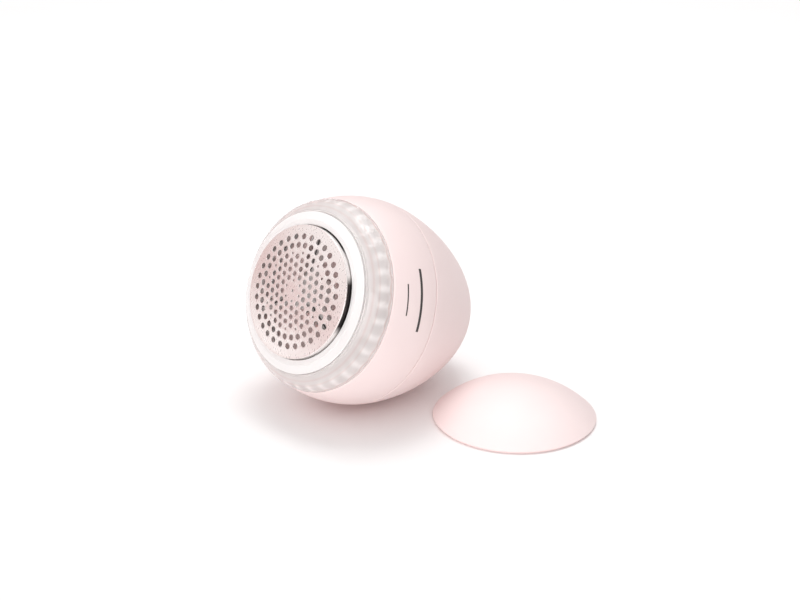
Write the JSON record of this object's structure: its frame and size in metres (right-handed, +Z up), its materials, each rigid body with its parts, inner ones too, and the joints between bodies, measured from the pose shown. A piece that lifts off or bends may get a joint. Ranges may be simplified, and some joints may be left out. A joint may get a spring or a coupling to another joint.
{
  "type": "fabric shaver",
  "caption": "Palm-sized egg-shaped fabric shaver with a perforated steel foil, clear lint container, spinning blades, rear power button and a domed protective cap lying beside it.",
  "frame": {"origin": "on the table, under the middle of the box that holds the shaver and its cap", "axes": "+Z up from the table, +X along the longest side of the box, from the foil side of the shaver towards the cap; +Y away from the side that the foil faces"},
  "size_m": [0.1182, 0.0818, 0.0718],
  "materials": {
    "soft_touch_pink": "matte",
    "clear_plastic": "polished",
    "foil_steel": "satin",
    "blade_steel": "satin",
    "zinc_steel": "satin",
    "white_plastic": "satin",
    "black_plastic": "satin",
    "seal_rubber": "matte",
    "armature_iron": "matte",
    "copper": "satin",
    "cell_sleeve": "satin",
    "board_laminate": "satin",
    "red_wire": "satin"
  },
  "bodies": {
    "root": {"front_shell": "soft_touch_pink", "rear_shell": "soft_touch_pink", "chassis_plate": "soft_touch_pink", "light_pipe": "clear_plastic", "case_screw_1": "zinc_steel", "case_screw_2": "zinc_steel", "case_screw_3": "zinc_steel", "chassis_screw_1": "zinc_steel", "chassis_screw_2": "zinc_steel", "chassis_screw_3": "zinc_steel", "motor_screw_1": "zinc_steel", "motor_screw_2": "zinc_steel", "board_screw_1": "zinc_steel", "board_screw_2": "zinc_steel", "motor_can": "zinc_steel", "charge_socket": "zinc_steel", "motor_end_cap": "white_plastic", "cell_cradle": "white_plastic", "push_switch": "black_plastic", "socket_tongue": "black_plastic", "cell_wire_black": "black_plastic", "motor_wire_black": "black_plastic", "container_seal": "seal_rubber", "motor_magnet_1": "armature_iron", "motor_magnet_2": "armature_iron", "cell": "cell_sleeve", "circuit_board": "board_laminate", "motor_wire_red": "red_wire", "cell_wire_red": "red_wire"},
    "rotor": {"motor_shaft": "blade_steel", "motor_armature": "armature_iron", "commutator": "copper", "drive_hub": "white_plastic", "blade_carrier": "white_plastic", "blade_1": "blade_steel", "blade_2": "blade_steel", "blade_3": "blade_steel"},
    "container": {"lint_container": "clear_plastic"},
    "foil_head": {"foil_ring": "clear_plastic", "foil": "foil_steel", "foil_retainer": "white_plastic"},
    "button": {"power_button": "soft_touch_pink", "switch_plunger": "black_plastic"},
    "cap": {"cap": "soft_touch_pink"}
  },
  "joints": [
    {"name": "rotor_spin", "type": "hinge", "parent": "root", "child": "rotor", "pos_m": [-0.02322, 0.0009, 0.03581], "axis": [-0.6587, -0.6451, 0.3872], "continuous": true},
    {"name": "container_pull", "type": "slide", "parent": "root", "child": "container", "axis": [-0.6587, -0.6451, 0.3872], "range_m": [0, 0.03]},
    {"name": "foil_twist", "type": "hinge", "parent": "container", "child": "foil_head", "pos_m": [-0.02322, 0.0009, 0.03581], "axis": [-0.6587, -0.6451, 0.3872], "range_deg": [0, 20]},
    {"name": "button_press", "type": "slide", "parent": "root", "child": "button", "axis": [-0.6587, -0.6451, 0.3872], "range_m": [0, 0.0006], "stiffness_N_per_m": 1500, "springref_m": -0.0004},
    {"name": "cap_lift", "type": "slide", "parent": "root", "child": "cap", "axis": [0.6843, -0.178, 0.7071], "range_m": [0, 0.08]}
  ]
}
